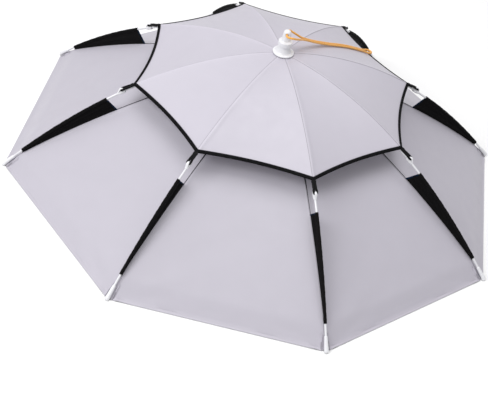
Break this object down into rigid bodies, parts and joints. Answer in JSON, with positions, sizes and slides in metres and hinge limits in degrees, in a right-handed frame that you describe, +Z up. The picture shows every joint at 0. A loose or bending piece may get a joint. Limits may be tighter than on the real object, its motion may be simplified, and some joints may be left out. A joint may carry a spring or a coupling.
{
  "type": "umbrella hat",
  "caption": "Wearable umbrella hat with a vented two-tier cloth canopy on bent ribs, a headband and a corded finial.",
  "frame": {"origin": "on the hat's upright axis, at the floor on which its eight rib tips stand", "axes": "+Z up through the finial; -Y to the front, midway between two ribs; ribs at 22.5 degrees and every 45 degrees from there"},
  "size_m": [0.7178, 0.7178, 0.2399],
  "materials": {
    "canopy_cloth": "silver-coated polyester, pale lavender grey, satin",
    "black_tape": "woven black binding tape, matte",
    "black_mesh": "fine black net, blue-black, matte",
    "black_elastic": "black elastic, matte",
    "white_plastic": "moulded white plastic, semi-gloss",
    "white_rod": "white coated fibreglass rod, semi-gloss",
    "orange_cord": "light orange braided elastic cord, matte",
    "headband_cloth": "black knitted elastic band, matte"
  },
  "bodies": {
    "root": {"upper_canopy": "canopy_cloth", "upper_binding": "black_tape", "lower_canopy": "canopy_cloth", "lower_binding": "black_tape", "hub": "white_plastic", "finial": "white_plastic", "headband": "headband_cloth", "hang_loop": "orange_cord", "rib_0": "white_rod", "rib_1": "white_rod", "rib_2": "white_rod", "rib_3": "white_rod", "rib_4": "white_rod", "rib_5": "white_rod", "rib_6": "white_rod", "rib_7": "white_rod", "rib_tip_0": "white_plastic", "rib_tip_1": "white_plastic", "rib_tip_2": "white_plastic", "rib_tip_3": "white_plastic", "rib_tip_4": "white_plastic", "rib_tip_5": "white_plastic", "rib_tip_6": "white_plastic", "rib_tip_7": "white_plastic", "mesh_gusset_0": "black_mesh", "mesh_gusset_1": "black_mesh", "mesh_gusset_2": "black_mesh", "mesh_gusset_3": "black_mesh", "mesh_gusset_4": "black_mesh", "mesh_gusset_5": "black_mesh", "mesh_gusset_6": "black_mesh", "mesh_gusset_7": "black_mesh", "strut_0": "white_plastic", "strut_1": "white_plastic", "strut_2": "white_plastic", "strut_3": "white_plastic", "strut_4": "white_plastic", "strut_5": "white_plastic", "strut_6": "white_plastic", "strut_7": "white_plastic", "corner_tie_0": "black_elastic", "corner_tie_1": "black_elastic", "corner_tie_2": "black_elastic", "corner_tie_3": "black_elastic", "corner_tie_4": "black_elastic", "corner_tie_5": "black_elastic", "corner_tie_6": "black_elastic", "corner_tie_7": "black_elastic", "tie_clip_0": "white_plastic", "tie_clip_1": "white_plastic", "tie_clip_2": "white_plastic", "tie_clip_3": "white_plastic", "tie_clip_4": "white_plastic", "tie_clip_5": "white_plastic", "tie_clip_6": "white_plastic", "tie_clip_7": "white_plastic"}
  },
  "joints": []
}
